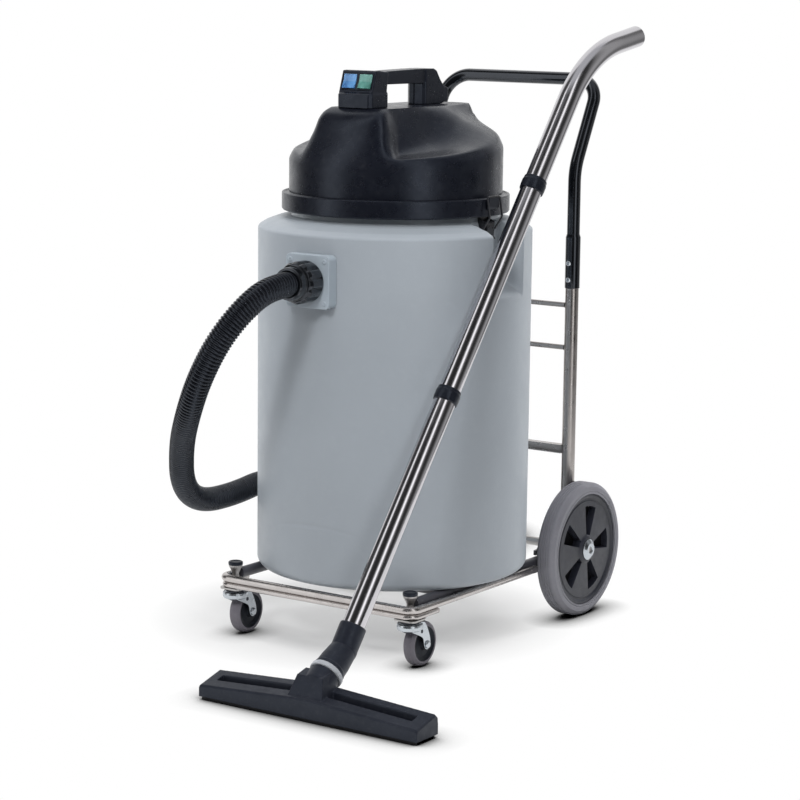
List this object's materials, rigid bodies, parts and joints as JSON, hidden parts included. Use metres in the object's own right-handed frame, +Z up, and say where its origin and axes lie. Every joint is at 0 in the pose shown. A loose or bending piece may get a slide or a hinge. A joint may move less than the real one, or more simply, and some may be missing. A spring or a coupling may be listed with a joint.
{
  "type": "drum vacuum cleaner",
  "caption": "Upright drum vacuum cleaner on a wheeled trolley, with lift-off motor head, ribbed hose, steel wand and wide floor tool.",
  "frame": {"origin": "on the floor, under the middle of the box round the machine with its floor tool, hose left out", "axes": "+Z up, -Y towards the front with the hose inlet, +X to the machine's right as seen from the front"},
  "size_m": [1.1299, 1.4947, 1.0917],
  "materials": {
    "zinc_rod": "bright zinc rod, lightly scratched",
    "dark_tube": "dark painted steel",
    "zinc_sheet": "zinc plated steel",
    "black_plastic": "satin black plastic",
    "dark_steel": "greased dark steel",
    "steel_tube": "satin stainless tube",
    "bright_zinc": "bright zinc",
    "black_gloss": "glossy black",
    "grey_drum": "rotomoulded blue grey, soft sheen",
    "grey_moulding": "moulded blue grey",
    "black_steel": "black coated steel",
    "black_head": "fine grained blue black moulding, satin",
    "black_rubber": "matte rubber",
    "motor_case": "pressed steel",
    "float_plastic": "white float",
    "blue_rocker": "translucent blue",
    "green_rocker": "translucent green",
    "rotor_metal": "cast and pressed metal",
    "polished_steel": "polished stainless",
    "tool_plastic": "dark moulded plastic",
    "grey_ring": "mid grey ring",
    "grey_tread": "grey rubber",
    "grey_tyre": "grey solid rubber",
    "black_rim": "dark moulded wheel",
    "wire_steel": "steel wire",
    "hose_black": "ribbed black hose"
  },
  "bodies": {
    "trolley": {"chassis_rail": "zinc_rod", "front_rod": "zinc_rod", "base_tubes": "dark_tube", "corner_plates": "zinc_sheet", "castor_posts": "zinc_sheet", "post_caps": "black_plastic", "castor_races": "dark_steel", "rear_uprights": "steel_tube", "cross_rods": "steel_tube", "cross_bar": "dark_tube", "axle_brackets": "dark_tube", "axle": "zinc_sheet", "push_handle": "black_gloss", "handle_bolts": "bright_zinc", "drum": "grey_drum", "drum_bracket": "zinc_sheet", "inlet_flange": "grey_moulding", "clamp_bases": "black_steel", "hose_run": "hose_black", "hose_coil": "hose_black", "hose_cuff": "black_plastic"},
    "inlet_nut": {"coupling_nut": "black_gloss"},
    "head": {"head_cover": "black_head", "lid_seal": "black_rubber", "motor_plate": "black_plastic", "motor_housings": "motor_case", "float_cage": "black_plastic", "carry_handle": "black_head", "switch_panel": "black_plastic", "cable_gland": "black_rubber", "clamp_keepers": "black_plastic"},
    "float": {"float_body": "float_plastic"},
    "front_rotor": {"rotor_front": "rotor_metal"},
    "rear_rotor": {"rotor_rear": "rotor_metal"},
    "blue_switch": {"rocker_blue": "blue_rocker"},
    "green_switch": {"rocker_green": "green_rocker"},
    "floor_tool": {"tool_body": "tool_plastic", "swivel_ring": "grey_ring", "tool_blades": "black_rubber"},
    "wand": {"tool_elbow": "tool_plastic", "wand_lower": "polished_steel", "wand_upper": "polished_steel", "wand_bend": "polished_steel", "wand_collars": "black_plastic"},
    "castor_left": {"castor_fork_left": "bright_zinc"},
    "castor_wheel_left": {"castor_core_left": "black_plastic", "castor_tread_left": "grey_tread"},
    "rear_wheel_left": {"rear_tyre_left": "grey_tyre", "rear_rim_left": "black_rim", "hub_cap_left": "bright_zinc"},
    "lever_left": {"clamp_lever_left": "black_steel"},
    "bail_left": {"bail_left": "wire_steel"},
    "castor_right": {"castor_fork_right": "bright_zinc"},
    "castor_wheel_right": {"castor_core_right": "black_plastic", "castor_tread_right": "grey_tread"},
    "rear_wheel_right": {"rear_tyre_right": "grey_tyre", "rear_rim_right": "black_rim", "hub_cap_right": "bright_zinc"},
    "lever_right": {"clamp_lever_right": "black_steel"},
    "bail_right": {"bail_right": "wire_steel"}
  },
  "joints": [
    {"name": "inlet_nut_turn", "type": "hinge", "parent": "trolley", "child": "inlet_nut", "pos_m": [-0.10141, -0.19031, 0.661], "axis": [0, -1, 0], "range_deg": [0, 90]},
    {"name": "head_lift", "type": "slide", "parent": "trolley", "child": "head", "axis": [0, 0, 1], "range_m": [0, 0.24]},
    {"name": "float_rise", "type": "slide", "parent": "head", "child": "float", "axis": [0, 0, 1], "range_m": [0, 0.058]},
    {"name": "front_rotor_spin", "type": "hinge", "parent": "head", "child": "front_rotor", "pos_m": [-0.10141, 0.007, 0.84], "axis": [0, 0, 1], "continuous": true},
    {"name": "rear_rotor_spin", "type": "hinge", "parent": "head", "child": "rear_rotor", "pos_m": [-0.10141, 0.139, 0.84], "axis": [0, 0, 1], "continuous": true},
    {"name": "blue_switch_rock", "type": "hinge", "parent": "head", "child": "blue_switch", "pos_m": [-0.11791, -0.0432, 0.99427], "axis": [1, 0, 0], "range_deg": [0, 8]},
    {"name": "green_switch_rock", "type": "hinge", "parent": "head", "child": "green_switch", "pos_m": [-0.08491, -0.0432, 0.99427], "axis": [1, 0, 0], "range_deg": [0, 8]},
    {"name": "lever_left_swing", "type": "hinge", "parent": "trolley", "child": "lever_left", "pos_m": [-0.29741, 0.073, 0.752], "axis": [0, 1, 0], "range_deg": [0, 100]},
    {"name": "bail_left_swing", "type": "hinge", "parent": "lever_left", "child": "bail_left", "pos_m": [-0.29841, 0.073, 0.743], "axis": [0, 1, 0], "range_deg": [-125, 0]},
    {"name": "lever_right_swing", "type": "hinge", "parent": "trolley", "child": "lever_right", "pos_m": [0.09459, 0.073, 0.752], "axis": [0, -1, 0], "range_deg": [0, 100]},
    {"name": "bail_right_swing", "type": "hinge", "parent": "lever_right", "child": "bail_right", "pos_m": [0.09559, 0.073, 0.743], "axis": [0, -1, 0], "range_deg": [-125, 0]},
    {"name": "castor_left_swivel", "type": "hinge", "parent": "trolley", "child": "castor_left", "pos_m": [-0.29141, -0.1445, 0.084], "axis": [0, 0, 1], "continuous": true},
    {"name": "castor_left_roll", "type": "hinge", "parent": "castor_left", "child": "castor_wheel_left", "pos_m": [-0.29141, -0.1135, 0.04], "axis": [1, 0, 0], "continuous": true},
    {"name": "rear_wheel_left_roll", "type": "hinge", "parent": "trolley", "child": "rear_wheel_left", "pos_m": [-0.32141, 0.368, 0.125], "axis": [1, 0, 0], "continuous": true},
    {"name": "castor_right_swivel", "type": "hinge", "parent": "trolley", "child": "castor_right", "pos_m": [0.08859, -0.1445, 0.084], "axis": [0, 0, 1], "continuous": true},
    {"name": "castor_right_roll", "type": "hinge", "parent": "castor_right", "child": "castor_wheel_right", "pos_m": [0.08859, -0.1135, 0.04], "axis": [1, 0, 0], "continuous": true},
    {"name": "rear_wheel_right_roll", "type": "hinge", "parent": "trolley", "child": "rear_wheel_right", "pos_m": [0.11859, 0.368, 0.125], "axis": [1, 0, 0], "continuous": true},
    {"name": "floor_tool_lift", "type": "slide", "parent": "trolley", "child": "floor_tool", "axis": [0, 0, 1], "range_m": [0, 0.25]},
    {"name": "wand_swivel", "type": "hinge", "parent": "floor_tool", "child": "wand", "pos_m": [0.13171, -0.44548, 0.06647], "axis": [0, 0.848, 0.5299], "range_deg": [0, 90]}
  ],
  "couplings": [
    {"joint": "bail_left_swing", "follows": "lever_left_swing", "ratio": -1.2},
    {"joint": "bail_right_swing", "follows": "lever_right_swing", "ratio": -1.2}
  ]
}
